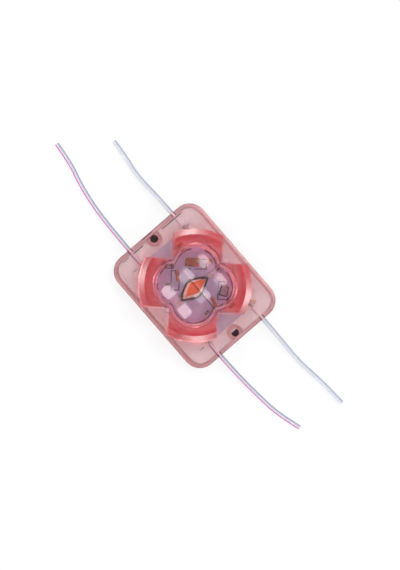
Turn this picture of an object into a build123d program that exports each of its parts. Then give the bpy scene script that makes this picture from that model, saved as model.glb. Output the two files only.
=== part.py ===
from build123d import *
import math
import os

os.makedirs("parts", exist_ok=True)

# Flashing LED module: a pink see-through cover with a four-petal lens, potted over a small board.
# Millimetres. X is the long axis, Z is up, the underside of the foam pad is z = 0.

# Body outline
body_len = 61.0
body_wid = 49.0
corner_r = 7.7
rim_round = 0.7

# Heights
pad_thick = 1.0
shell_height = 5.5
top_thick = 1.6
lens_rise = 9.5

# Cover walls and screw bosses
end_wall = 1.75
side_wall = 2.3
cavity_r = 5.5
screw_inset = 3.5
screw_dia = 3.5
boss_dia = 6.6
boss_lift = 0.8
fill_gap = 0.05

# Four-petal lens
lens_r = 24.9
petal_wid = 22.2
petal_band = 2.4
petal_drop = 1.6
lens_draft = 4.0
foot_r = 26.7
foot_rise = 0.4
foot_inset = 0.9
bowl_rim_r = 11.1
bowl_offset = 7.4
bowl_draft = 7.0
bowl_floor_thick = 2.1
bowl_floor_r = 24.0
bowl_corner_r = 2.0

# Foam pad
pad_end_inset = 1.6
pad_side_inset = 2.6
pad_round = 4.5

# Board and potting
board_end_gap = 7.9
board_side_gap = 7.7
board_thick = 1.0
board_x = 0.5
board_y = -0.2
board_lift = 1.0
board_round = 1.0
board_gap = 0.05
fill_drop = 0.2
test_pad_dia = 1.5
test_pad_thick = 0.1
test_pad_inset = 1.15

# Leads
lead_od = 2.0
lead_gap = 0.05
lead_rest_gap = 0.05
core_dia = 0.8
striped_inset = 5.55
plain_inset = 3.35
strip_back = 0.5
core_len = 3.4
solder_pad_len = 3.6
solder_pad_wid = 2.8
solder_pad_thick = 0.1
solder_r = 1.3
solder_rise = 1.2
solder_back = 0.6

# LED package: a long lozenge across the body, with a dark rim, a white cup and an orange window
led_x = 0.85
led_y = -1.1
led_height = 1.5
cup_len = 14.2
cup_wid = 7.9
cup_drop = 0.25
led_rim = 0.8
led_blunt = 0.6
window_len = 9.4
window_wid = 3.4
window_y = 0.7
window_depth = 0.8
led_tab_wid = 1.8
led_tab_out = 2.6
led_tab_thick = 0.3

# Flasher chip
chip_len = 4.9
chip_wid = 3.9
chip_height = 1.4
chip_lift = 0.1
chip_x = 10.4
chip_y = 8.4
chip_turn = -57.0
leg_pitch = 1.27
leg_wid = 0.42
leg_thick = 0.2
leg_out = 1.05
leg_rise = 0.7

# Tantalum capacitor and protection diode
tant_len = 6.0
tant_wid = 3.8
tant_height = 1.7
tant_x = -8.5
tant_y = 6.2
tant_turn = 45.0
diode_len = 4.4
diode_wid = 2.6
diode_height = 1.6
diode_x = -14.5
diode_y = -2.4
diode_turn = 45.0
tab_out = 0.5
tab_thick = 0.25
tab_wid = 1.5

# Resistors with wire ends
rod_len = 4.6
rod_dia = 1.7
rod_neck = 0.12
wire_dia = 0.5
wire_out = 1.3
rod_places = [(-8.3, -2.8, -32.0), (11.4, 1.5, -20.0)]

# Small flat parts: x, y and turn of each
res_len = 3.2
res_wid = 1.6
res_height = 0.6
res_end = 0.5
res_places = [(-8.2, -8.6, 45.0), (0.9, 13.2, -45.0), (12.9, -3.6, 90.0)]
cap_len = 3.2
cap_wid = 1.6
cap_height = 1.2
cap_end = 0.45
cap_places = [(-3.8, 12.3, 45.0), (-17.6, 6.4, 90.0), (17.0, 6.6, 90.0)]

# Through cuts run this far past a face
cut_past = 1.0

# Sizes that follow from the ones above
screw_pitch = body_len - 2 * screw_inset
board_len = body_len - 2 * board_end_gap
board_wid = body_wid - 2 * board_side_gap
shell_top = pad_thick + shell_height
shell_under = shell_top - top_thick
boss_low = pad_thick + boss_lift
lens_top = shell_top + lens_rise
bowl_low = shell_under + bowl_floor_thick
board_low = pad_thick + board_lift
board_top = board_low + board_thick
fill_top = board_top - fill_drop
lead_z = board_top + solder_pad_thick + core_dia / 2
rest_z = lead_od / 2 + lead_rest_gap

striped_y = board_y - board_wid / 2 + striped_inset
plain_y = board_y + board_wid / 2 - plain_inset

# Points of each lead, from the stripped end on the board to the cut end
in_x = board_x - board_len / 2 - strip_back
out_x = board_x + board_len / 2 + strip_back
lead_paths = {
    "lead_in_striped": [
        (in_x, striped_y, lead_z),
        (-38.0, striped_y, lead_z),
        (-54.0, striped_y + 0.75, rest_z),
        (-66.6, striped_y + 2.75, rest_z),
        (-76.4, striped_y + 5.55, rest_z),
        (-86.5, striped_y + 6.45, rest_z),
    ],
    "lead_in_plain": [
        (in_x, plain_y, lead_z),
        (-37.8, plain_y, lead_z),
        (-53.4, plain_y - 0.75, rest_z),
        (-62.8, plain_y + 0.95, rest_z),
        (-71.2, plain_y + 1.55, rest_z),
    ],
    "lead_out_striped": [
        (out_x, striped_y, lead_z),
        (39.0, striped_y, lead_z),
        (55.0, striped_y + 1.15, rest_z),
        (67.0, striped_y + 2.55, rest_z),
        (77.2, striped_y + 5.75, rest_z),
    ],
    "lead_out_plain": [
        (out_x, plain_y, lead_z),
        (39.0, plain_y, lead_z),
        (55.6, plain_y - 0.35, rest_z),
        (68.4, plain_y + 1.65, rest_z),
        (81.2, plain_y + 2.15, rest_z),
    ],
}


def slab(length, width, radius, low, high):
    """A rounded rectangle standing on its own centre, from low to high."""
    face = RectangleRounded(length, width, radius)
    return Pos(0, 0, low) * extrude(face, high - low)


def post(x, y, radius, low, high):
    """A round post from low to high."""
    return Pos(x, y, (low + high) / 2) * Cylinder(radius, high - low)


def brick(length, width, low, high):
    """A plain block centred on the axis, from low to high."""
    return Pos(0, 0, (low + high) / 2) * Box(length, width, high - low)


def placed(shape, x, y, turn=0.0):
    """The shape moved to its place on the board."""
    return Pos(x, y, 0) * Rot(0, 0, turn) * shape


def group(solids):
    """Separate solids that share one node."""
    return Compound(children=list(solids))


def bar_x(start, end, y, z, radius):
    """A round bar along X."""
    mid = (start + end) / 2
    return Pos(mid, y, z) * Rot(0, 90, 0) * Cylinder(radius, abs(end - start))


def lens_block():
    """The four petals: a disc with a sloping band round its top and a drafted edge, cut to a cross of two arms."""
    lean = math.tan(math.radians(lens_draft))
    shoulder = lens_top - petal_drop
    edge_r = lens_r - (shoulder - shell_top) * lean
    with BuildPart() as disc:
        with BuildSketch(Plane.XZ):
            with BuildLine():
                Line((0, shell_under), (lens_r, shell_under))
                Line((lens_r, shell_under), (lens_r, shell_top))
                Line((lens_r, shell_top), (edge_r, shoulder))
                Line((edge_r, shoulder), (edge_r - petal_band, lens_top))
                Line((edge_r - petal_band, lens_top), (0, lens_top))
                Line((0, lens_top), (0, shell_under))
            make_face()
        revolve(axis=Axis.Z)
    arm_len = 2.4 * lens_r
    arms = None
    for turn in (45.0, 135.0):
        low = Pos(0, 0, shell_under) * extrude(Rectangle(arm_len, petal_wid), top_thick)
        high = Pos(0, 0, shell_top) * extrude(Rectangle(arm_len, petal_wid), lens_rise, taper=lens_draft)
        arm = Rot(0, 0, turn) * (low + high)
        arms = arm if arms is None else arms + arm
    return disc.part & arms


def bowl():
    """One bowl: a steep drafted wall and a shallow round floor, with a rounded corner between them."""
    lean = math.tan(math.radians(bowl_draft))
    foot = bowl_rim_r - (lens_top - bowl_low) * lean
    reach = bowl_floor_r - foot * lean
    rise = (reach - math.sqrt(reach ** 2 - (1 + lean ** 2) * foot ** 2)) / (1 + lean ** 2)
    corner_x = foot + rise * lean
    corner_z = bowl_low + rise
    mid_x = corner_x / 2
    mid_z = bowl_low + bowl_floor_r - math.sqrt(bowl_floor_r ** 2 - mid_x ** 2)
    high = lens_top + cut_past
    high_x = bowl_rim_r + cut_past * lean
    outline = Polyline((0, bowl_low), (0, high), (high_x, high), (corner_x, corner_z))
    outline += ThreePointArc((corner_x, corner_z), (mid_x, mid_z), (0, bowl_low))
    section = make_face(outline)
    corner = section.vertices().sort_by_distance(Vector(corner_x, corner_z, 0))[0]
    section = fillet(corner, bowl_corner_r)
    return revolve(Plane.XZ * section, Axis.Z)


def bowls():
    """The four bowls sunk into the top of the lens, one in each petal."""
    sunk = []
    for turn in (45.0, 135.0, 225.0, 315.0):
        angle = math.radians(turn)
        sunk.append(Pos(bowl_offset * math.cos(angle), bowl_offset * math.sin(angle), 0) * bowl())
    return sunk


def lead_slots():
    """Round-topped slots in the end walls, open at the bottom, one for each lead."""
    width = lead_od + 2 * lead_gap
    slots = []
    for side in (-1, 1):
        inner = side * (body_len / 2 - end_wall - cut_past)
        outer = side * (body_len / 2 + cut_past)
        for y in (striped_y, plain_y):
            run = abs(outer - inner)
            mid = (outer + inner) / 2
            slots.append(bar_x(inner, outer, y, lead_z, width / 2))
            slots.append(Pos(mid, y, (pad_thick + lead_z) / 2) * Box(run, width, lead_z - pad_thick))
    return slots


def lens_cover():
    """The pink cover: plate, walls, bosses, lens."""
    shell = slab(body_len, body_wid, corner_r, pad_thick, shell_top)
    rim = shell.edges().group_by(Axis.Z)[-1]
    shell = fillet(rim, rim_round)
    foot = post(0, 0, foot_r, shell_under, shell_top + foot_rise)
    foot_window = slab(
        body_len - 2 * foot_inset,
        body_wid - 2 * foot_inset,
        corner_r - foot_inset,
        shell_under,
        shell_top + foot_rise,
    )
    shell += foot & foot_window
    shell -= slab(body_len - 2 * end_wall, body_wid - 2 * side_wall, cavity_r, pad_thick, shell_under)
    for side in (-1, 1):
        shell += post(side * screw_pitch / 2, 0, boss_dia / 2, boss_low, shell_top - rim_round)
    shell += lens_block()
    for hollow in bowls():
        shell -= hollow
    for side in (-1, 1):
        shell -= post(side * screw_pitch / 2, 0, screw_dia / 2, pad_thick, shell_top + cut_past)
    for slot in lead_slots():
        shell -= slot
    return shell


def foam_pad():
    """The pad under the body; screws pierce it when the module is fixed."""
    return slab(
        body_len - 2 * pad_end_inset,
        body_wid - 2 * pad_side_inset,
        pad_round,
        0.0,
        pad_thick,
    )


def board_blank(grow, low, high):
    """The board's outline, grown by a clearance."""
    return placed(
        slab(board_len + 2 * grow, board_wid + 2 * grow, board_round + grow, low, high),
        board_x,
        board_y,
    )


def potting_fill():
    """Pale resin round the board, over the pad, under the bosses and in the lead slots."""
    fill = slab(
        body_len - 2 * end_wall - 2 * fill_gap,
        body_wid - 2 * side_wall - 2 * fill_gap,
        cavity_r - fill_gap,
        pad_thick,
        fill_top,
    )
    for side in (-1, 1):
        inner = side * (body_len / 2 - end_wall - cut_past)
        outer = side * body_len / 2
        run = abs(outer - inner)
        for y in (striped_y, plain_y):
            plug = Box(run, lead_od + 2 * lead_gap - 2 * fill_gap, lead_z - pad_thick)
            fill += Pos((inner + outer) / 2, y, (pad_thick + lead_z) / 2) * plug
        fill -= post(side * screw_pitch / 2, 0, boss_dia / 2 + fill_gap, boss_low - fill_gap, fill_top)
        fill -= post(side * screw_pitch / 2, 0, screw_dia / 2, pad_thick, fill_top)
    fill -= board_blank(board_gap, board_low, fill_top)
    for name, points in lead_paths.items():
        side = math.copysign(1.0, points[0][0])
        fill -= bar_x(points[0][0], side * (body_len / 2 + cut_past), points[0][1], lead_z, lead_od / 2)
    return fill


def test_pad():
    """A small round copper land in the board's corner."""
    x = board_x + board_len / 2 - test_pad_inset
    y = board_y + board_wid / 2 - test_pad_inset
    return post(x, y, test_pad_dia / 2, board_top, board_top + test_pad_thick)


def lead(points):
    """One lead: a plain round tube along straight runs joined by tangent arcs."""
    radii = []
    for a, b, c in zip(points, points[1:], points[2:]):
        first = Vector(*b) - Vector(*a)
        second = Vector(*c) - Vector(*b)
        turn = math.radians(first.get_angle(second))
        radii.append(0.45 * min(first.length, second.length) / math.tan(turn / 2))
    line = FilletPolyline(*points, radius=radii)
    start = Plane(origin=line @ 0, z_dir=line % 0)
    tube = sweep(start * Circle(lead_od / 2), path=line)
    return tube, line, radii


def lead_conductors():
    """The bare core of each lead, from the end of its covering onto its pad."""
    cores = []
    for points in lead_paths.values():
        start = points[0][0]
        side = math.copysign(1.0, start)
        cores.append(bar_x(start, start - side * core_len, points[0][1], lead_z, core_dia / 2))
    return cores


def solder_places():
    """The middle of each solder joint on the board."""
    places = []
    for points in lead_paths.values():
        start = points[0][0]
        side = math.copysign(1.0, start)
        places.append((start - side * (core_len - solder_back), points[0][1]))
    return places


def solder_pads():
    """A flat pad under each joint."""
    pad = brick(solder_pad_len, solder_pad_wid, board_top, board_top + solder_pad_thick)
    return [placed(pad, x, y) for x, y in solder_places()]


def solder_joints():
    """A low dome over the end of each core."""
    pad_top = board_top + solder_pad_thick
    dome_r = (solder_r ** 2 + solder_rise ** 2) / (2 * solder_rise)
    dome = Pos(0, 0, pad_top + solder_rise - dome_r) * Sphere(dome_r)
    dome &= brick(4 * solder_r, 4 * solder_r, pad_top, pad_top + 2 * solder_rise)
    joints = []
    for core, (x, y) in zip(lead_conductors(), solder_places()):
        joints.append(placed(dome, x, y) - core)
    return joints


def lozenge(length, width, blunt, low, high):
    """A lozenge, long along Y, with its four points cut off square."""
    half_y = length / 2
    half_x = width / 2
    tip_x = blunt * half_x / half_y
    side_y = blunt * half_y / half_x
    quarter = [(half_x - blunt, side_y), (tip_x, half_y - blunt)]
    corners = list(quarter)
    corners += [(-x, y) for x, y in reversed(quarter)]
    corners += [(-x, -y) for x, y in quarter]
    corners += [(x, -y) for x, y in reversed(quarter)]
    return Pos(0, 0, low) * extrude(make_face(Polyline(*corners, close=True)), high - low)


def led_parts():
    """The LED package: dark rim, white cup, orange window, and a tinned tab at each end."""
    top = board_top + led_height
    cup_top = top - cup_drop
    slope = math.atan2(cup_len, cup_wid)
    rim_len = cup_len + 2 * led_rim / math.cos(slope)
    rim_wid = cup_wid + 2 * led_rim / math.sin(slope)
    rim = lozenge(rim_len, rim_wid, led_blunt, board_top, top)
    rim -= lozenge(cup_len, cup_wid, led_blunt, board_top, top)
    window = lozenge(window_len, window_wid, led_blunt / 2, cup_top - window_depth, cup_top)
    window = placed(window, 0, window_y)
    cup = lozenge(cup_len, cup_wid, led_blunt, board_top, cup_top) - window
    end_y = rim.bounding_box().max.Y
    tabs = []
    for side in (-1, 1):
        tab = brick(led_tab_wid, led_tab_out, board_top, board_top + led_tab_thick)
        tabs.append(placed(tab, led_x, led_y + side * (end_y + led_tab_out / 2)))
    return [placed(shape, led_x, led_y) for shape in (rim, cup, window)] + [tabs]


def flasher_chip():
    """The eight-legged chip that makes the light flash."""
    low = board_top + chip_lift
    body = brick(chip_len, chip_wid, low, low + chip_height)
    body = chamfer(body.edges().group_by(Axis.Z)[-1], 0.25)
    legs = []
    for side in (-1, 1):
        for step in (-1.5, -0.5, 0.5, 1.5):
            x = step * leg_pitch
            riser = placed(
                brick(leg_wid, 2 * leg_thick, board_top, board_top + leg_rise),
                x,
                side * (chip_wid / 2 + leg_thick),
            )
            foot = placed(
                brick(leg_wid, leg_out, board_top, board_top + leg_thick),
                x,
                side * (chip_wid / 2 + leg_out / 2),
            )
            legs.append(placed(riser + foot, chip_x, chip_y, chip_turn))
    return placed(body, chip_x, chip_y, chip_turn), legs


def rod_resistors():
    """Round resistors lying on the board, waisted between their end caps, with a bent wire at each end."""
    bodies = []
    wires = []
    axis_z = board_top + rod_dia / 2
    for x, y, turn in rod_places:
        body = bar_x(-rod_len / 2, rod_len / 2, 0, axis_z, rod_dia / 2)
        body = fillet(body.edges().filter_by(GeomType.CIRCLE), rod_dia / 5)
        ring = bar_x(-rod_len / 5, rod_len / 5, 0, axis_z, rod_dia)
        body -= ring - bar_x(-rod_len / 4, rod_len / 4, 0, axis_z, rod_dia / 2 - rod_neck)
        bodies.append(placed(body, x, y, turn))
        for side in (-1, 1):
            start = side * rod_len / 2
            out = start + side * wire_out
            arm = bar_x(start, out, 0, axis_z, wire_dia / 2)
            drop = post(out, 0, wire_dia / 2, board_top, axis_z)
            bend = Pos(out, 0, axis_z) * Sphere(wire_dia / 2)
            wires.append(placed(arm + drop + bend, x, y, turn))
    return bodies, wires


def moulded_part(length, width, height, x, y, turn):
    """A moulded block with a flat tab at each end."""
    body = brick(length, width, board_top, board_top + height)
    body = chamfer(body.edges().group_by(Axis.Z)[-1], 0.2)
    tabs = []
    for side in (-1, 1):
        tab = brick(tab_out, tab_wid, board_top, board_top + tab_thick)
        tab = placed(tab, side * (length + tab_out) / 2, 0)
        tabs.append(placed(tab, x, y, turn))
    return placed(body, x, y, turn), tabs


def chip_part(length, width, height, end, places):
    """Small flat parts with a metal end on each side."""
    bodies = []
    ends = []
    for x, y, turn in places:
        body = brick(length - 2 * end, width, board_top, board_top + height)
        bodies.append(placed(body, x, y, turn))
        for side in (-1, 1):
            cap = brick(end, width, board_top, board_top + height)
            cap = placed(cap, side * (length - end) / 2, 0)
            ends.append(placed(cap, x, y, turn))
    return bodies, ends


nodes = {
    "lens_cover": lens_cover(),
    "foam_pad": foam_pad(),
    "potting_fill": potting_fill(),
    "circuit_board": board_blank(0.0, board_low, board_top),
    "test_pad": test_pad(),
    "solder_pads": group(solder_pads()),
    "solder_joints": group(solder_joints()),
    "lead_conductors": group(lead_conductors()),
}

led_rim_solid, led_cup, led_window, led_tabs = led_parts()
nodes["led_rim"] = led_rim_solid
nodes["led_body"] = led_cup
nodes["led_phosphor"] = led_window
nodes["led_terminals"] = group(led_tabs)

chip_body, chip_leg_set = flasher_chip()
nodes["flasher_chip"] = chip_body
nodes["chip_legs"] = group(chip_leg_set)

tant_body, tant_tabs = moulded_part(tant_len, tant_wid, tant_height, tant_x, tant_y, tant_turn)
nodes["tantalum_capacitor"] = tant_body
nodes["tantalum_tabs"] = group(tant_tabs)

diode_body, diode_tabs = moulded_part(diode_len, diode_wid, diode_height, diode_x, diode_y, diode_turn)
nodes["protection_diode"] = diode_body
nodes["diode_tabs"] = group(diode_tabs)

rod_bodies, rod_wires = rod_resistors()
nodes["rod_resistors"] = group(rod_bodies)
nodes["rod_resistor_wires"] = group(rod_wires)

res_bodies, res_ends = chip_part(res_len, res_wid, res_height, res_end, res_places)
nodes["resistor_bodies"] = group(res_bodies)
nodes["resistor_ends"] = group(res_ends)

cap_bodies, cap_ends = chip_part(cap_len, cap_wid, cap_height, cap_end, cap_places)
nodes["ceramic_bodies"] = group(cap_bodies)
nodes["ceramic_ends"] = group(cap_ends)

for lead_name, lead_points in lead_paths.items():
    tube, line, radii = lead(lead_points)
    nodes[lead_name] = tube
    section = math.pi * (lead_od / 2) ** 2
    print(
        lead_name,
        "length", round(line.length, 2),
        "radii", [round(r, 1) for r in radii],
        "volume over section times length", round(tube.volume / (section * line.length), 5),
        "lowest", round(tube.bounding_box().min.Z, 3),
    )

for node_name, shape in nodes.items():
    shape.label = node_name
    export_step(shape, f"parts/{node_name}.step")

print(len(nodes), "nodes")
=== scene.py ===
"""Looks for the flashing LED module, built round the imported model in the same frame, in metres."""
import math

import bpy
from mathutils import Matrix, Vector


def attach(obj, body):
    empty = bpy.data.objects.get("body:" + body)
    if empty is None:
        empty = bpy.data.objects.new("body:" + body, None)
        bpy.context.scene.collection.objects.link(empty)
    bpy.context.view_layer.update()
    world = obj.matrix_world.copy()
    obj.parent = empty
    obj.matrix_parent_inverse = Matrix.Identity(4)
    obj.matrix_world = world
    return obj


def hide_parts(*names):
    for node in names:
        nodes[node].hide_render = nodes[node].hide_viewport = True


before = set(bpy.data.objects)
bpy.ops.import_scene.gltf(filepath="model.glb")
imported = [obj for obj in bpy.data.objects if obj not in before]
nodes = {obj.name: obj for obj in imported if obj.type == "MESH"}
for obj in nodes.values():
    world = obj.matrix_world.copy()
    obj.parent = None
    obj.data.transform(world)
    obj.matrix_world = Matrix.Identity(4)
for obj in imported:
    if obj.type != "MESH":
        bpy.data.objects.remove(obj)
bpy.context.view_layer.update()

MM = 0.001
BLACK = (0.0, 0.0, 0.0)
WHITE = (1.0, 1.0, 1.0)
LEVEL_ONLY = (1.0, 1.0, 0.0)
UPRIGHT = (0.0, 0.0, 1.0)

# Camera: nearly straight down, the long axis running to the lower right
CAMERA_DISTANCE = 0.75
CAMERA_LEAN = Vector((-0.0035, -0.040, 1.0))
TURN = math.radians(49.2)
PIXELS_PER_MM = 2.294
FRAME_HEIGHT = 570
SENSOR = 36.0
FRAME_CENTRE = (200.0, 285.0)
BODY_CENTRE = (194.7, 285.65)
RIM_HEIGHT = 6.0 * MM

# Lamps: name, side and height in degrees, size and brightness. Two stand over the object and four low round
# it, each of those four with a wider, dimmer one round it, so that its reflection fades at its ends
LAMP_DISTANCE = 0.6
LAMPS = [
    ("softbox_over_far", 90, 64, (0.25, 0.25), 6.0),
    ("softbox_over_near", 270, 72, (0.23, 0.23), 4.0),
    ("softbox_low_a", 38, 23, (0.15, 0.32), 4.4),
    ("softbox_low_b", 143, 23, (0.15, 0.32), 4.4),
    ("softbox_low_c", 217, 23, (0.15, 0.32), 3.2),
    ("softbox_low_d", 324, 23, (0.15, 0.32), 3.2),
    ("softbox_wide_a", 38, 24, (0.36, 0.30), 1.6),
    ("softbox_wide_b", 143, 24, (0.36, 0.30), 1.6),
    ("softbox_wide_c", 217, 24, (0.36, 0.30), 1.6),
    ("softbox_wide_d", 324, 24, (0.36, 0.30), 1.6),
]
WORLD_LEVEL = 0.35

# The floor, and by distance from the middle the share of plain white in what the camera sees of it
FLOOR_HALF = 3.0
FLOOR_DROP = 0.1 * MM
FLOOR_COLOUR = (0.92, 0.92, 0.92)
FLOOR_GLOW = {"From Min": 0.15, "From Max": 0.4, "To Min": 0.75, "To Max": 1.0}

# Leads: the CAD node that each replaces, whether it is striped, its length, and the CAD tube's own points.
# Their covering is painted paler up to a set reach from the middle, as painted light where they run in
# shade inside the body
TUBE_SIDES = 24
LEAD_OD = 2.0 * MM
LEAD_Z = 3.5 * MM
REST_Z = 1.05 * MM
LEAD_LIGHT_REACH = 30.0 * MM
STRIPED_Y = -11.45 * MM
PLAIN_Y = 13.25 * MM
LEAD_ROUTES = {
    "striped_lead_in": (
        "lead_in_striped",
        True,
        0.0646,
        [
            (-22.6 * MM, STRIPED_Y, LEAD_Z),
            (-38.0 * MM, STRIPED_Y, LEAD_Z),
            (-54.0 * MM, -10.7 * MM, REST_Z),
            (-66.6 * MM, -8.7 * MM, REST_Z),
            (-76.4 * MM, -5.9 * MM, REST_Z),
            (-86.5 * MM, -5.0 * MM, REST_Z),
        ],
    ),
    "plain_lead_in": (
        "lead_in_plain",
        False,
        0.0489,
        [
            (-22.6 * MM, PLAIN_Y, LEAD_Z),
            (-37.8 * MM, PLAIN_Y, LEAD_Z),
            (-53.4 * MM, 12.5 * MM, REST_Z),
            (-62.8 * MM, 14.2 * MM, REST_Z),
            (-71.2 * MM, 14.8 * MM, REST_Z),
        ],
    ),
    "striped_lead_out": (
        "lead_out_striped",
        True,
        0.0543,
        [
            (23.6 * MM, STRIPED_Y, LEAD_Z),
            (39.0 * MM, STRIPED_Y, LEAD_Z),
            (55.0 * MM, -10.3 * MM, REST_Z),
            (67.0 * MM, -8.9 * MM, REST_Z),
            (77.2 * MM, -5.7 * MM, REST_Z),
        ],
    ),
    "plain_lead_out": (
        "lead_out_plain",
        False,
        0.0579,
        [
            (23.6 * MM, PLAIN_Y, LEAD_Z),
            (39.0 * MM, PLAIN_Y, LEAD_Z),
            (55.6 * MM, 12.9 * MM, REST_Z),
            (68.4 * MM, 14.9 * MM, REST_Z),
            (81.2 * MM, 15.4 * MM, REST_Z),
        ],
    ),
}

# The leads' covering: its shades, the painted light near the middle and the painted shade on one side, and
# the magenta stripe's place round it
COVERING = (0.68, 0.68, 0.77)
COVERING_SHADES = [(0.3, (0.68, 0.68, 0.74)), (0.7, (0.76, 0.76, 0.81))]
COVERING_PAINTED_LIGHT = (0.97, 0.95, 0.99)
PAINTED_SHADE_SIDE = [(0.12, WHITE), (0.32, BLACK)]
SHADE_STRIPED = (0.24, 0.27, 0.36)
SHADE_PLAIN = (0.29, 0.31, 0.44)
STRIPE = (0.66, 0.15, 0.46)
STRIPE_EDGES = [(0.0, BLACK), (0.31, BLACK), (0.33, WHITE), (0.43, WHITE), (0.45, BLACK)]

# Acrylic: the tint of its surface, the colour that its depth takes on, and how far its edges look rounded
ACRYLIC_TINT = (1.0, 0.985, 0.985)
DEPTH_COLOUR = (0.988, 0.05, 0.14)
DEPTH_DENSITY = 98.0
EDGE_SOFTNESS = 0.2 * MM
RIPPLE_HEIGHT = 0.6 * MM

# Its fine dark lines: the two along ridges between its bowls are painted shade, and the rest run along one
# end of its
# plate: middle, half of the size along X and Y, and colour. They are on its upper faces only
FINE_LINES_LOW = 6.4 * MM
RIDGE_SHADE_AND_END_LINES = [
    ((5.6 * MM, 0.0, 0.0), (9.4 * MM, 0.17 * MM), (0.12, 0.08, 0.11)),
    ((-0.1 * MM, 9.0 * MM, 0.0), (0.14 * MM, 6.0 * MM), (0.25, 0.17, 0.22)),
    ((-27.9 * MM, 11.1 * MM, 0.0), (0.2 * MM, 5.6 * MM), (0.06, 0.03, 0.035)),
    ((-27.9 * MM, -8.6 * MM, 0.0), (0.2 * MM, 2.7 * MM), (0.06, 0.03, 0.035)),
    ((-28.0 * MM, -15.5 * MM, 0.0), (0.18 * MM, 1.7 * MM), (0.15, 0.08, 0.09)),
    ((-29.9 * MM, -1.6 * MM, 0.0), (0.18 * MM, 2.9 * MM), (0.15, 0.08, 0.09)),
]

# The sloping band round the petals' tops and their drafted sides: where they lie, how steep they are, how
# closely a surface must face their way to be part of them, and how satin the band is
BAND_IN = 21.7 * MM
BAND_LOW = 14.4 * MM
BAND_HIGH = 15.98 * MM
BAND_SLOPE = math.atan2(1.6, 2.4)
SIDE_IN = 24.6 * MM
SIDE_LOW = 7.0 * MM
SIDE_SLOPE = math.radians(86.0)
CONE_LIKE = 0.95
BAND_SATIN = 0.2

# What lies under the petals: the bowls' middles and reach, the petals' half width and reach, and the pink
# painted there as the petals' light and shade, in lighter and darker patches, deepest in a painted shade
# ring that is given as shares of the petals' reach
BOWL_OFFSET = 5.2 * MM
BOWL_REACH = 11.3 * MM
PETAL_HALF = 11.0 * MM
PETAL_REACH = 24.3 * MM
UNDER_PETAL_LIGHT_AND_SHADE = [(0.40, (0.75, 0.54, 0.60)), (0.60, (0.97, 0.99, 0.99))]
PAINTED_SHADE_PINK = (0.80, 0.26, 0.33)
PAINTED_SHADE_RING = [(0.79, BLACK), (0.88, WHITE), (0.91, WHITE), (0.95, BLACK)]
SHADE_RING_PATCHES = [(0.38, (0.3, 0.3, 0.3)), (0.58, WHITE)]

# The board: its lavender coating, its notches and corners painted paler as painted light, and a dark dash
# at each of its corners
COATING = (0.58, 0.60, 0.93)
COATING_SHADES = [(0.35, (0.54, 0.56, 0.89)), (0.65, (0.62, 0.64, 0.97))]
NOTCH_PAINTED_LIGHT = [(0.35, (0.62, 0.69, 0.91)), (0.65, (0.70, 0.77, 0.96))]
CORNER_PAINTED_LIGHT = (0.98, 0.99, 0.99)
BOARD_CENTRE = (0.5 * MM, -0.2 * MM, 0.0)
BOARD_DASH = (22.3 * MM, 14.2 * MM)
DASH_COLOUR = (0.16, 0.10, 0.10)

# The pad's pale top: where it begins, and where it leaves the black bare at the two screw holes
PAD_SKIN = 0.95 * MM
SKIN_GAP = (24.0 * MM, 3.2 * MM)
GAP_CENTRE = (1.15 * MM, 0.0, 0.0)
GAP_REACH = 25.15 * MM

# Dark outlines painted on the board as painted shade round the edges of parts: middle, turn in degrees, and
# half of their length and width. They break off where a wide noise is low
SHADE_OUTLINES = [
    ((-7.5 * MM, -4.9 * MM, 0.0), -41.0, (4.8 * MM, 2.1 * MM)),
    ((-6.9 * MM, 6.7 * MM, 0.0), 49.0, (5.1 * MM, 2.5 * MM)),
    ((10.2 * MM, 8.3 * MM, 0.0), -45.0, (4.4 * MM, 2.7 * MM)),
]
OUTLINE_WIDTH = 0.5 * MM
OUTLINE_BREAKS = 0.44
OUTLINE_SHADE = (0.07, 0.035, 0.07)

# Broken marks of painted shade along arcs near the bowls' outer walls: distance from a bowl's middle, how
# far it wavers, and half of the width. They begin at ARC_FROM from the lens's axis, and break off where a
# wide noise is low
ARC_REACH = 9.9 * MM
ARC_WAVER = 1.2 * MM
ARC_HALF = 0.35 * MM
ARC_FROM = 13.5 * MM
ARC_BREAKS = 0.49
ARC_SHADE = (0.10, 0.03, 0.10)

# The LED's orange gel: its colour, and the middle and half the size of the lozenge that it covers
PHOSPHOR = (1.0, 0.21, 0.02)
GEL_CENTRE = (0.85 * MM, -0.4 * MM, 0.0)
GEL_HALF = (2.6 * MM, 6.2 * MM)

# The flasher chip's place on the board, and half the size of its paler top
CHIP_PLACE = (10.4 * MM, 8.4 * MM, 0.0)
CHIP_TURN = math.radians(-57.0)
CHIP_INNER = (1.95 * MM, 1.45 * MM)
CHIP_TOP = (0.42, 0.38, 0.52)

# Black packages, and the pale marks worn on some of them
PACKAGE_BLACK = (0.03, 0.025, 0.03)
WORN_MARKS = [(0.48, PACKAGE_BLACK), (0.55, (0.46, 0.42, 0.60))]

# Grain: how high it stands on moulded and on cast or foamed parts, and how strong it shows
FINE_GRAIN = 0.03 * MM
CAST_GRAIN = 0.1 * MM
GRAIN_STRENGTH = 0.3
FAINT_STRENGTH = 0.1


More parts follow.
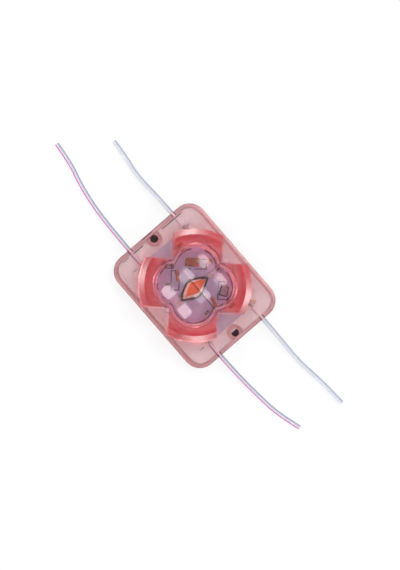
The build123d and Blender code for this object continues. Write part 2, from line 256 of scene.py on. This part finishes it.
class Material:
    """A node material with short ways to add the usual nodes."""

    def __init__(self, name, colour, roughness=0.5):
        self.mat = bpy.data.materials.new(name)
        self.mat.use_nodes = True
        self.tree = self.mat.node_tree
        self.shader = self.tree.nodes["Principled BSDF"]
        self.output = self.tree.nodes["Material Output"]
        self.set("Base Color", (*colour, 1.0))
        self.set("Roughness", roughness)

    def set(self, name, value):
        self.shader.inputs[name].default_value = value

    def node(self, kind, **values):
        made = self.tree.nodes.new(kind)
        for key, value in values.items():
            if key in made.inputs:
                made.inputs[key].default_value = value
            else:
                setattr(made, key, value)
        return made

    def link(self, source, target):
        self.tree.links.new(source, target)

    def noise(self, scale, detail):
        """Noise on object coordinates: scale is in waves a metre."""
        place = self.node("ShaderNodeTexCoord")
        made = self.node("ShaderNodeTexNoise", Scale=scale, Detail=detail, Roughness=0.5)
        self.link(place.outputs["Object"], made.inputs["Vector"])
        return made.outputs["Fac"]

    def ramp(self, source, stops):
        """A colour ramp over a value."""
        made = self.node("ShaderNodeValToRGB")
        steps = made.color_ramp.elements
        for step, (place, colour) in zip(steps, (stops[0], stops[-1])):
            step.position = place
            step.color = (*colour, 1.0)
        for place, colour in stops[1:-1]:
            step = steps.new(place)
            step.color = (*colour, 1.0)
        self.link(source, made.inputs["Fac"])
        return made.outputs["Color"]

    def mottle(self, scale, first, second):
        """Two colours in soft patches."""
        return self.ramp(self.noise(scale, 3.0), [(0.3, first), (0.7, second)])

    def paint(self, source):
        """Takes the surface's colour from an output."""
        self.link(source, self.shader.inputs["Base Color"])

    def roughness_from(self, source, low, high):
        spread = self.node("ShaderNodeMapRange")
        spread.inputs["To Min"].default_value = low
        spread.inputs["To Max"].default_value = high
        self.link(source, spread.inputs["Value"])
        self.link(spread.outputs["Result"], self.shader.inputs["Roughness"])

    def folded(self, centre=(0.0, 0.0, 0.0), turn=0.0):
        """Object coordinates from a centre with their signs taken off, so its four quarters look alike."""
        place = self.node("ShaderNodeTexCoord")
        moved = self.node("ShaderNodeMapping", vector_type="TEXTURE")
        moved.inputs["Location"].default_value = centre
        moved.inputs["Rotation"].default_value = (0.0, 0.0, turn)
        fold = self.node("ShaderNodeVectorMath", operation="ABSOLUTE")
        self.link(place.outputs["Object"], moved.inputs["Vector"])
        self.link(moved.outputs["Vector"], fold.inputs[0])
        return fold.outputs["Vector"]

    def folded_parts(self, centre=(0.0, 0.0, 0.0), turn=0.0):
        parts = self.node("ShaderNodeSeparateXYZ")
        self.link(self.folded(centre, turn), parts.inputs["Vector"])
        return parts.outputs["X"], parts.outputs["Y"], parts.outputs["Z"]

    def radius(self, centre):
        """Distance in the XY plane from a point of the first quarter, folded."""
        flat = self.node("ShaderNodeVectorMath", operation="MULTIPLY_ADD")
        flat.inputs[1].default_value = LEVEL_ONLY
        flat.inputs[2].default_value = (-centre, -centre, 0.0)
        length = self.node("ShaderNodeVectorMath", operation="LENGTH")
        self.link(self.folded(), flat.inputs[0])
        self.link(flat.outputs["Vector"], length.inputs[0])
        return length.outputs["Value"]

    def math(self, operation, source, value=0.0):
        made = self.node("ShaderNodeMath", operation=operation)
        made.inputs[1].default_value = value
        self.link(source, made.inputs[0])
        return made.outputs[0]

    def below(self, source, limit):
        return self.math("LESS_THAN", source, limit)

    def above(self, source, limit):
        return self.math("GREATER_THAN", source, limit)

    def product(self, *sources):
        result = sources[0]
        for source in sources[1:]:
            times = self.node("ShaderNodeMath", operation="MULTIPLY")
            self.link(result, times.inputs[0])
            self.link(source, times.inputs[1])
            result = times.outputs[0]
        return result

    def blend(self, share, first, second):
        """A mix of two colours, each a plain colour or an output."""
        mix = self.node("ShaderNodeMix", data_type="RGBA")
        self.link(share, mix.inputs["Factor"])
        for name, colour in (("A", first), ("B", second)):
            if isinstance(colour, tuple):
                mix.inputs[name].default_value = (*colour, 1.0)
            else:
                self.link(colour, mix.inputs[name])
        return mix.outputs["Result"]

    def bump_from(self, source, strength, distance):
        bump = self.node("ShaderNodeBump", Strength=strength, Distance=distance)
        self.link(source, bump.inputs["Height"])
        self.link(bump.outputs["Normal"], self.shader.inputs["Normal"])

    def grain(self, scale, low, high, height):
        """A fine grain: its roughness runs from low to high, and height is how far it rises."""
        fine = self.noise(scale, 5.0)
        self.roughness_from(fine, low, high)
        self.bump_from(fine, GRAIN_STRENGTH, height)


def acrylic_lines(made):
    """Nearly clear, with fine dark lines of painted shade along two of the ridges between the bowls, and
    dark lines along one end.
    """
    over = made.above(made.folded_parts()[2], FINE_LINES_LOW)
    tint = ACRYLIC_TINT
    for centre, half, dark in RIDGE_SHADE_AND_END_LINES:
        along_x, along_y, _ = made.folded_parts(centre)
        line = made.product(made.below(along_x, half[0]), made.below(along_y, half[1]), over)
        tint = made.blend(line, tint, dark)
    return tint


def cone_normal(made, slope):
    """The normal of a cone of this slope on the side that a ray meets, and 1 where the surface is one."""
    place = made.node("ShaderNodeTexCoord")
    flat = made.node("ShaderNodeVectorMath", operation="MULTIPLY")
    flat.inputs[1].default_value = LEVEL_ONLY
    out = made.node("ShaderNodeVectorMath", operation="NORMALIZE")
    tilt = made.node("ShaderNodeVectorMath", operation="MULTIPLY_ADD")
    tilt.inputs[1].default_value = (math.sin(slope), math.sin(slope), 0.0)
    tilt.inputs[2].default_value = (0.0, 0.0, math.cos(slope))
    own = made.node("ShaderNodeNewGeometry")
    side = made.node("ShaderNodeVectorMath", operation="DOT_PRODUCT")
    sign = made.node("ShaderNodeMath", operation="SIGN")
    facing = made.node("ShaderNodeVectorMath", operation="SCALE")
    made.link(place.outputs["Object"], flat.inputs[0])
    made.link(flat.outputs["Vector"], out.inputs[0])
    made.link(out.outputs["Vector"], tilt.inputs[0])
    made.link(tilt.outputs["Vector"], side.inputs[0])
    made.link(own.outputs["Normal"], side.inputs[1])
    made.link(side.outputs["Value"], sign.inputs[0])
    made.link(tilt.outputs["Vector"], facing.inputs[0])
    made.link(sign.outputs[0], facing.inputs["Scale"])
    likeness = made.math("ABSOLUTE", side.outputs["Value"])
    return facing.outputs["Vector"], made.above(likeness, CONE_LIKE)


def pink_acrylic():
    """Clear pink acrylic, coloured by its depth, with softly rounded edges and a faint ripple."""
    made = Material("pink_acrylic", ACRYLIC_TINT, 0.03)
    made.set("IOR", 1.49)
    made.set("Transmission Weight", 0.98)
    band = made.product(
        made.above(made.radius(0.0), BAND_IN),
        made.above(made.folded_parts()[2], BAND_LOW),
        made.below(made.folded_parts()[2], BAND_HIGH),
    )
    made.link(band, made.shader.inputs["Coat Weight"])
    made.set("Coat IOR", 1.55)
    made.set("Coat Roughness", BAND_SATIN)
    depth = made.node("ShaderNodeVolumeAbsorption")
    depth.inputs["Color"].default_value = (*DEPTH_COLOUR, 1.0)
    depth.inputs["Density"].default_value = DEPTH_DENSITY
    made.link(depth.outputs["Volume"], made.output.inputs["Volume"])
    gloss = made.mottle(900.0, (0.01, 0.01, 0.01), (0.05, 0.05, 0.05))
    satin = (BAND_SATIN, BAND_SATIN, BAND_SATIN)
    made.link(made.blend(band, gloss, satin), made.shader.inputs["Roughness"])
    edges = made.node("ShaderNodeBevel", samples=6, Radius=EDGE_SOFTNESS)
    bump = made.node("ShaderNodeBump", Strength=0.015, Distance=RIPPLE_HEIGHT)
    made.link(made.noise(260.0, 2.0), bump.inputs["Height"])
    slope, on_slope = cone_normal(made, BAND_SLOPE)
    side, on_side = cone_normal(made, SIDE_SLOPE)
    wall = made.product(
        made.above(made.radius(0.0), SIDE_IN),
        made.above(made.folded_parts()[2], SIDE_LOW),
        made.below(made.folded_parts()[2], BAND_LOW),
        on_side,
    )
    normal = made.blend(made.product(band, on_slope), edges.outputs["Normal"], slope)
    made.link(made.blend(wall, normal, side), bump.inputs["Normal"])
    made.link(bump.outputs["Normal"], made.shader.inputs["Normal"])
    made.link(bump.outputs["Normal"], made.shader.inputs["Coat Normal"])
    made.paint(acrylic_lines(made))
    return made.mat


def soft_grain(name, colour, other, roughness, scale):
    """A plain moulded finish, mottled with another colour, with a fine grain."""
    made = Material(name, colour, roughness)
    made.paint(made.mottle(scale * 0.4, other, colour))
    made.grain(scale, roughness - 0.08, roughness + 0.08, FINE_GRAIN)
    return made.mat


def bright_metal(name, colour, roughness):
    """Tinned or bare metal, duller in fine patches."""
    made = Material(name, colour, roughness)
    made.set("Metallic", 1.0)
    patch = made.noise(1800.0, 4.0)
    made.roughness_from(patch, roughness - 0.1, roughness + 0.15)
    made.bump_from(patch, FAINT_STRENGTH, 0.02 * MM)
    return made.mat


def outline(made, centre, turn, half):
    """1 on the painted shade line round a rectangle of the board, broken where a wide noise is low."""
    along, across, _ = made.folded_parts(centre, math.radians(turn))
    inner_along = made.below(along, half[0] - OUTLINE_WIDTH)
    inner_across = made.below(across, half[1] - OUTLINE_WIDTH)
    inner = made.product(inner_along, inner_across)
    outer = made.product(made.below(along, half[0]), made.below(across, half[1]))
    ring = made.node("ShaderNodeMath", operation="SUBTRACT")
    made.link(outer, ring.inputs[0])
    made.link(inner, ring.inputs[1])
    return made.product(ring.outputs[0], made.above(made.noise(170.0, 2.0), OUTLINE_BREAKS))


def aside_of_petals(made):
    """How far a point lies from the nearest petal's middle line."""
    across = made.node("ShaderNodeVectorMath", operation="DOT_PRODUCT")
    across.inputs[1].default_value = (math.sqrt(0.5), -math.sqrt(0.5), 0.0)
    made.link(made.folded(), across.inputs[0])
    return made.math("ABSOLUTE", across.outputs["Value"])


def painted_petal_light_and_shade(made, plain):
    """Pink painted under the petals as their light and shade: lighter and darker patches, deepest in a
    painted shade ring just inside their bands; a plain look elsewhere.
    """
    from_axis = made.radius(0.0)
    light_and_shade_patches = made.ramp(made.noise(170.0, 3.0), UNDER_PETAL_LIGHT_AND_SHADE)
    ring = made.product(
        made.ramp(made.math("DIVIDE", from_axis, PETAL_REACH), PAINTED_SHADE_RING),
        made.ramp(made.noise(110.0, 2.0), SHADE_RING_PATCHES),
    )
    covered = made.product(
        made.below(aside_of_petals(made), PETAL_HALF),
        made.above(made.radius(BOWL_OFFSET), BOWL_REACH),
        made.below(from_axis, PETAL_REACH),
    )
    return made.blend(covered, plain, made.blend(ring, light_and_shade_patches, PAINTED_SHADE_PINK))


def broken_shade_arcs(made):
    """1 on painted shade marks of uneven width along arcs near the bowls' outer walls."""
    from_bowl = made.radius(BOWL_OFFSET)
    uneven = made.node("ShaderNodeMath", operation="MULTIPLY_ADD")
    uneven.inputs[1].default_value = ARC_WAVER
    uneven.inputs[2].default_value = ARC_REACH - ARC_WAVER / 2
    made.link(made.noise(260.0, 2.0), uneven.inputs[0])
    apart = made.node("ShaderNodeMath", operation="SUBTRACT")
    made.link(from_bowl, apart.inputs[0])
    made.link(uneven.outputs[0], apart.inputs[1])
    return made.product(
        made.below(made.math("ABSOLUTE", apart.outputs[0]), ARC_HALF),
        made.above(made.radius(0.0), ARC_FROM),
        made.above(made.noise(130.0, 2.0), ARC_BREAKS),
    )


def board_coating():
    """Lavender board; its face carries the petals' painted light and shade in pink under them, and is
    painted paler in the lens's notches and corners as painted light.
    """
    made = Material("board_mask", COATING, 0.35)
    coat = made.ramp(made.noise(300.0, 2.0), COATING_SHADES)
    for centre, turn, half in SHADE_OUTLINES:
        coat = made.blend(outline(made, centre, turn, half), coat, OUTLINE_SHADE)
    coat = made.blend(broken_shade_arcs(made), coat, ARC_SHADE)
    aside = aside_of_petals(made)
    # Painted light: the notches and the corners beyond the petals are painted paler
    notch = made.ramp(made.noise(300.0, 2.0), NOTCH_PAINTED_LIGHT)
    face = made.blend(made.above(aside, PETAL_HALF), painted_petal_light_and_shade(made, coat), notch)
    corner = made.product(made.below(aside, PETAL_HALF), made.above(made.radius(0.0), PETAL_REACH))
    face = made.blend(corner, face, CORNER_PAINTED_LIGHT)
    along, out, _ = made.folded_parts(BOARD_CENTRE)
    dash = made.product(made.above(along, BOARD_DASH[0]), made.above(out, BOARD_DASH[1]))
    made.paint(made.blend(dash, face, DASH_COLOUR))
    made.roughness_from(made.noise(1500.0, 3.0), 0.3, 0.45)
    return made.mat


def pale_resin():
    """Cast resin, a little mottled, with a fine grain; under the petals it is painted pink as their painted
    light and shade.
    """
    made = Material("pale_resin", (0.96, 0.98, 0.98), 0.35)
    pale = made.mottle(200.0, (0.91, 0.93, 0.94), (0.96, 0.98, 0.98))
    made.paint(painted_petal_light_and_shade(made, pale))
    made.grain(500.0, 0.27, 0.43, CAST_GRAIN)
    return made.mat


def foam_with_skin():
    """Black foam; its top is pale apart from the screw holes, where it stays black, at one of them only in
    part.
    """
    made = Material("black_foam", (0.055, 0.045, 0.04), 0.85)
    black = made.mottle(1200.0, (0.045, 0.035, 0.032), (0.07, 0.056, 0.05))
    pale = made.mottle(200.0, (0.94, 0.92, 0.92), (0.99, 0.98, 0.98))
    along, out, up = made.folded_parts()
    hole = made.product(made.above(along, SKIN_GAP[0]), made.below(out, SKIN_GAP[1]))
    half = made.above(made.folded_parts(GAP_CENTRE)[0], GAP_REACH)
    skin = made.math("SUBTRACT", made.product(hole, half), 1.0)
    skin = made.product(made.math("ABSOLUTE", skin), made.above(up, PAD_SKIN))
    made.paint(made.blend(skin, black, pale))
    made.bump_from(made.noise(3000.0, 5.0), GRAIN_STRENGTH, CAST_GRAIN)
    return made.mat


def led_cup():
    """The LED's pale cup; the orange gel runs over its edge round the window."""
    made = Material("led_plastic", (0.95, 0.90, 0.86), 0.5)
    pale = made.mottle(360.0, (0.94, 0.84, 0.80), (0.99, 0.92, 0.89))
    out = made.node("ShaderNodeVectorMath", operation="DOT_PRODUCT")
    out.inputs[1].default_value = (1.0 / GEL_HALF[0], 1.0 / GEL_HALF[1], 0.0)
    made.link(made.folded(GEL_CENTRE), out.inputs[0])
    made.paint(made.blend(made.below(out.outputs["Value"], 1.0), pale, PHOSPHOR))
    made.grain(900.0, 0.42, 0.58, 0.04 * MM)
    return made.mat


def outlined_top():
    """The flasher chip: black sides, and a top that shows pale lavender inside a dark outline."""
    made = Material("flasher_chip", PACKAGE_BLACK, 0.5)
    along, across, _ = made.folded_parts(CHIP_PLACE, CHIP_TURN)
    inside = made.product(made.below(along, CHIP_INNER[0]), made.below(across, CHIP_INNER[1]))
    made.paint(made.blend(inside, PACKAGE_BLACK, CHIP_TOP))
    made.grain(2500.0, 0.4, 0.58, FINE_GRAIN)
    return made.mat


def marked_black():
    """Black moulded bodies whose tops carry pale marks too worn to read."""
    made = Material("marked_black", PACKAGE_BLACK, 0.5)
    made.paint(made.ramp(made.noise(800.0, 2.0), WORN_MARKS))
    made.grain(2500.0, 0.42, 0.58, FINE_GRAIN)
    return made.mat


def lead_covering(name, striped):
    """Covering with painted shade on one side and painted light where it runs inside the body; one kind has
    a magenta stripe.
    """
    made = Material(name, COVERING, 0.35)
    fine = made.noise(700.0, 3.0)
    base = made.ramp(fine, COVERING_SHADES)
    around = made.node("ShaderNodeUVMap")
    parts = made.node("ShaderNodeSeparateXYZ")
    made.link(around.outputs["UV"], parts.inputs["Vector"])
    # Painted shade: one side of the covering is painted greyer, as if in shade
    painted_shade_side = made.ramp(parts.outputs["Y"], PAINTED_SHADE_SIDE)
    base = made.blend(painted_shade_side, base, SHADE_STRIPED if striped else SHADE_PLAIN)
    # Painted light: near the middle the covering is painted paler, lifting the shade where it runs inside
    # the body
    base = made.blend(made.below(made.folded_parts()[0], LEAD_LIGHT_REACH), base, COVERING_PAINTED_LIGHT)
    if striped:
        base = made.blend(made.ramp(parts.outputs["Y"], STRIPE_EDGES), base, STRIPE)
    made.paint(base)
    made.roughness_from(fine, 0.28, 0.42)
    made.bump_from(fine, FAINT_STRENGTH, FINE_GRAIN)
    return made.mat


def dress(material, *names):
    """Gives CAD nodes their material."""
    for name in names:
        mesh = nodes[name].data
        mesh.materials.clear()
        mesh.materials.append(material)


def smooth_line(points):
    """A NURBS curve through the route, as the cord's own line."""
    curve = bpy.data.curves.new("route", "CURVE")
    curve.dimensions = "3D"
    spline = curve.splines.new("NURBS")
    spline.points.add(len(points) - 1)
    for point, place in zip(spline.points, points):
        point.co = (*place, 1.0)
    spline.order_u = 3
    spline.use_endpoint_u = True
    spline.resolution_u = 24
    return curve


def read_line(curve):
    """The points of a bare curve's own line, in order."""
    bare = bpy.data.objects.new("route", curve)
    mesh = bpy.data.meshes.new_from_object(bare)
    points = [vertex.co.copy() for vertex in mesh.vertices]
    bpy.data.objects.remove(bare)
    bpy.data.meshes.remove(mesh)
    return points


def tube_mesh(name, path, radius):
    """A tube along a path, rings square to it. U runs along it in metres, V is the share of a turn."""
    sides = TUBE_SIDES
    verts = []
    along = [0.0]
    for a, b in zip(path, path[1:]):
        along.append(along[-1] + (b - a).length)
    for i, place in enumerate(path):
        before = path[max(i - 1, 0)]
        after = path[min(i + 1, len(path) - 1)]
        ahead = (after - before).normalized()
        side = Vector(UPRIGHT).cross(ahead).normalized()
        up = ahead.cross(side)
        for k in range(sides):
            angle = 2 * math.pi * k / sides
            verts.append(place + radius * (math.cos(angle) * side + math.sin(angle) * up))
    faces = []
    face_uvs = []
    for i in range(len(path) - 1):
        for k in range(sides):
            n = (k + 1) % sides
            faces.append((i * sides + k, i * sides + n, (i + 1) * sides + n, (i + 1) * sides + k))
            low, high = k / sides, (k + 1) / sides
            face_uvs.append(((along[i], low), (along[i], high), (along[i + 1], high), (along[i + 1], low)))
    last = (len(path) - 1) * sides
    faces.append(tuple(reversed(range(sides))))
    face_uvs.append(tuple((0.0, 0.0) for _ in range(sides)))
    faces.append(tuple(range(last, last + sides)))
    face_uvs.append(tuple((along[-1], 0.0) for _ in range(sides)))
    mesh = bpy.data.meshes.new(name)
    mesh.from_pydata(verts, [], faces)
    layer = mesh.uv_layers.new(name="around")
    for polygon, corners in zip(mesh.polygons, face_uvs):
        polygon.use_smooth = len(corners) == 4
        for loop, corner in zip(polygon.loop_indices, corners):
            layer.data[loop].uv = corner
    return mesh


def lay_leads(plain, striped):
    """The four leads, each along its own smooth line."""
    for name, (node, has_stripe, length, points) in LEAD_ROUTES.items():
        path = read_line(smooth_line(points))
        towards_x = sorted(path, key=lambda place: place.x)
        mesh = tube_mesh(name, towards_x, LEAD_OD / 2)
        mesh.materials.append(striped if has_stripe else plain)
        piece = bpy.data.objects.new(name, mesh)
        bpy.context.scene.collection.objects.link(piece)
        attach(piece, "root")
        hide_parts(node)


def add_floor():
    """A plain white floor that the object lies on."""
    mesh = bpy.data.meshes.new("floor")
    corners = [Vector((x, y, 0.0)) * FLOOR_HALF for x, y in ((-1, -1), (1, -1), (1, 1), (-1, 1))]
    mesh.from_pydata(corners, [], [(0, 1, 2, 3)])
    floor = bpy.data.objects.new("floor", mesh)
    floor.location = (0, 0, -FLOOR_DROP)
    bpy.context.scene.collection.objects.link(floor)
    made = Material("floor_white", FLOOR_COLOUR, 0.9)
    glow = made.node("ShaderNodeEmission")
    glow.inputs["Strength"].default_value = 1.0
    path = made.node("ShaderNodeLightPath")
    far = made.node("ShaderNodeMapRange")
    for name, value in FLOOR_GLOW.items():
        far.inputs[name].default_value = value
    made.link(made.radius(0.0), far.inputs["Value"])
    mix = made.node("ShaderNodeMixShader")
    made.link(made.product(path.outputs["Is Camera Ray"], far.outputs["Result"]), mix.inputs["Fac"])
    made.link(made.shader.outputs["BSDF"], mix.inputs[1])
    made.link(glow.outputs["Emission"], mix.inputs[2])
    made.link(mix.outputs["Shader"], made.output.inputs["Surface"])
    mesh.materials.append(made.mat)


def add_world():
    """Even studio light; straight to the camera it is white."""
    world = bpy.data.worlds.new("studio")
    bpy.context.scene.world = world
    world.use_nodes = True
    tree = world.node_tree
    back = tree.nodes["Background"]
    back.inputs["Color"].default_value = (*WHITE, 1.0)
    path = tree.nodes.new("ShaderNodeLightPath")
    level = tree.nodes.new("ShaderNodeMapRange")
    level.inputs["To Min"].default_value = WORLD_LEVEL
    level.inputs["To Max"].default_value = 1.0
    tree.links.new(path.outputs["Is Camera Ray"], level.inputs["Value"])
    tree.links.new(level.outputs["Result"], back.inputs["Strength"])


def add_softbox(name, azimuth, elevation, size, level):
    """A rectangular soft light aimed at the object from a side and a height, both in degrees."""
    across = math.radians(azimuth)
    high = math.radians(elevation)
    place = Vector((math.cos(high) * math.cos(across), math.cos(high) * math.sin(across), math.sin(high)))
    data = bpy.data.lights.new(name, "AREA")
    data.shape = "RECTANGLE"
    data.size = size[0]
    data.size_y = size[1]
    data.energy = level * math.pi * size[0] * size[1]
    lamp = bpy.data.objects.new(name, data)
    lamp.location = place * LAMP_DISTANCE
    lamp.rotation_mode = "QUATERNION"
    lamp.rotation_quaternion = place.to_track_quat("Z", "Y")
    bpy.context.scene.collection.objects.link(lamp)


def add_camera():
    """Looks down at the object as the photograph does."""
    data = bpy.data.cameras.new("camera")
    data.sensor_width = SENSOR
    data.lens = PIXELS_PER_MM * SENSOR * CAMERA_DISTANCE / MM / FRAME_HEIGHT
    data.clip_start = 0.01
    data.clip_end = 10.0
    camera = bpy.data.objects.new("camera", data)
    back = CAMERA_LEAN.normalized()
    right = Vector((math.cos(TURN), math.sin(TURN), 0.0))
    right = (right - back * right.dot(back)).normalized()
    up = back.cross(right)
    shift = (FRAME_CENTRE[0] - BODY_CENTRE[0]) * right - (FRAME_CENTRE[1] - BODY_CENTRE[1]) * up
    aim = Vector((0, 0, RIM_HEIGHT)) + shift * MM / PIXELS_PER_MM
    turn = Matrix((right, up, back)).transposed()
    camera.matrix_world = Matrix.Translation(aim + back * CAMERA_DISTANCE) @ turn.to_4x4()
    bpy.context.scene.collection.objects.link(camera)
    bpy.context.scene.camera = camera


def dress_nodes():
    """Every CAD node that stays gets its own finish."""
    dress(pink_acrylic(), "lens_cover")
    dress(foam_with_skin(), "foam_pad")
    dress(pale_resin(), "potting_fill")
    dress(board_coating(), "circuit_board")
    dress(bright_metal("copper_land", (0.66, 0.45, 0.34), 0.4), "test_pad", "solder_pads")
    solder = bright_metal("solder", (0.50, 0.50, 0.53), 0.5)
    dress(solder, "solder_joints", "lead_conductors", "led_terminals", "chip_legs", "tantalum_tabs")
    dress(solder, "diode_tabs", "resistor_ends", "ceramic_ends", "rod_resistor_wires")
    dress(led_cup(), "led_body")
    dress(soft_grain("led_phosphor", PHOSPHOR, (0.95, 0.18, 0.02), 0.3, 900.0), "led_phosphor")
    dress(marked_black(), "protection_diode", "resistor_bodies")
    dress(soft_grain("led_edge", (0.05, 0.016, 0.026), (0.035, 0.012, 0.018), 0.5, 2500.0), "led_rim")
    dress(outlined_top(), "flasher_chip")
    brown = soft_grain("tantalum_brown", (0.42, 0.13, 0.03), (0.36, 0.10, 0.02), 0.45, 1500.0)
    dress(brown, "tantalum_capacitor")
    dress(soft_grain("ceramic_tan", (0.45, 0.25, 0.12), (0.38, 0.20, 0.09), 0.5, 1500.0), "ceramic_bodies")
    dress(soft_grain("resistor_tan", (0.50, 0.22, 0.10), (0.44, 0.18, 0.08), 0.4, 1500.0), "rod_resistors")


bpy.context.scene.view_settings.view_transform = "Standard"
add_camera()
add_world()
for lamp in LAMPS:
    add_softbox(*lamp)
add_floor()
dress_nodes()
lay_leads(lead_covering("lead_plain", False), lead_covering("lead_striped", True))
